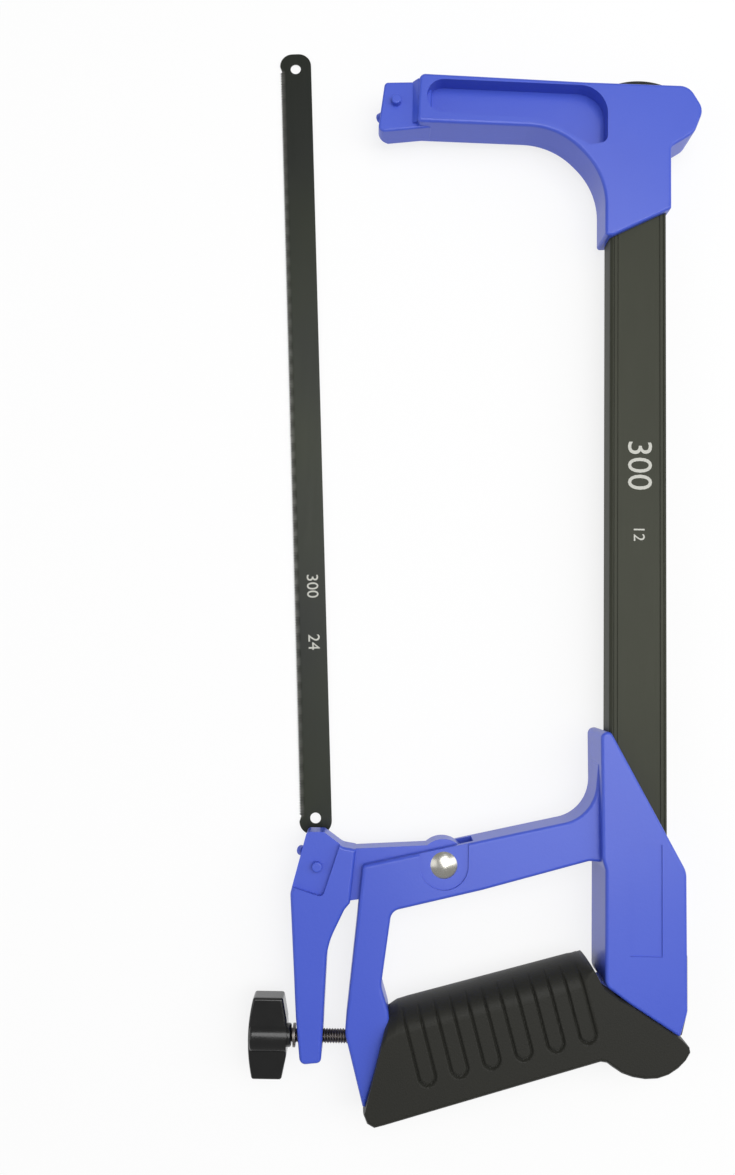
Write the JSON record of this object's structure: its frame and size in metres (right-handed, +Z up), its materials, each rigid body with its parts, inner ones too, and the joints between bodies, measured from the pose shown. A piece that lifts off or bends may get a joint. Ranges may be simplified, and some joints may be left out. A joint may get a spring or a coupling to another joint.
{
  "type": "hacksaw",
  "caption": "High-tension hacksaw: D-handle with ribbed rubber grip, rectangular spine, front arm, tension lever with screw and wing knob, and a loose blade.",
  "frame": {"origin": "bottom centre of the whole saw's bounding box, lying flat on its side", "axes": "+X from the blade side to the back of the spine, +Y from the handle to the front arm, +Z up through the thickness of the saw"},
  "size_m": [0.167, 0.4132, 0.0244],
  "materials": {
    "blue_paint": "glossy powder coat",
    "black_anodised": "dark anodised, satin",
    "black_rubber": "matte",
    "zinc_steel": "bright zinc",
    "dark_steel": "oiled dark steel",
    "gloss_black_plastic": "glossy moulded",
    "grey_plastic": "moulded",
    "blade_steel": "dark lacquered steel",
    "brass": "turned"
  },
  "bodies": {
    "frame": {"spine_tube": "black_anodised", "front_tube_plug": "grey_plastic", "rear_tube_plug": "grey_plastic", "front_arm": "blue_paint", "front_thumb_pad": "black_rubber", "handle_casting": "blue_paint", "grip_sleeve": "black_rubber", "back_strap": "black_rubber", "captive_nut": "dark_steel", "pivot_rivet": "zinc_steel", "rivet_washer": "zinc_steel", "front_pin_90": "blue_paint", "front_pin_45": "blue_paint", "front_cross_rivet_1": "zinc_steel", "front_cross_rivet_2": "zinc_steel", "rear_cross_rivet_1": "zinc_steel", "rear_cross_rivet_2": "zinc_steel"},
    "lever": {"tension_lever": "blue_paint", "lever_bush": "brass", "rear_pin_90": "blue_paint", "rear_pin_45": "blue_paint"},
    "washer": {"thrust_washer": "dark_steel"},
    "knob": {"wing_knob": "gloss_black_plastic", "tension_screw": "dark_steel"},
    "loose_blade": {"blade": "blade_steel"}
  },
  "joints": [
    {"name": "lever_pivot", "type": "hinge", "parent": "frame", "child": "lever", "pos_m": [-0.01247, -0.11257, 0.012], "axis": [0, 0, 1], "range_deg": [-1.4, 7]},
    {"name": "screw_feed", "type": "slide", "parent": "frame", "child": "washer", "axis": [1, 0, 0], "range_m": [-0.0014, 0.007]},
    {"name": "knob_turn", "type": "hinge", "parent": "washer", "child": "knob", "pos_m": [-0.06767, -0.17697, 0.012], "axis": [1, 0, 0], "range_deg": [-500, 2520]},
    {"name": "blade_slide", "type": "slide", "parent": "frame", "child": "loose_blade", "axis": [-1, 0, 0], "range_m": [0, 0.06]}
  ],
  "couplings": [
    {"joint": "screw_feed", "follows": "knob_turn", "m_per_rad": 0.00015915},
    {"joint": "lever_pivot", "follows": "knob_turn", "ratio": 0.0027777}
  ]
}
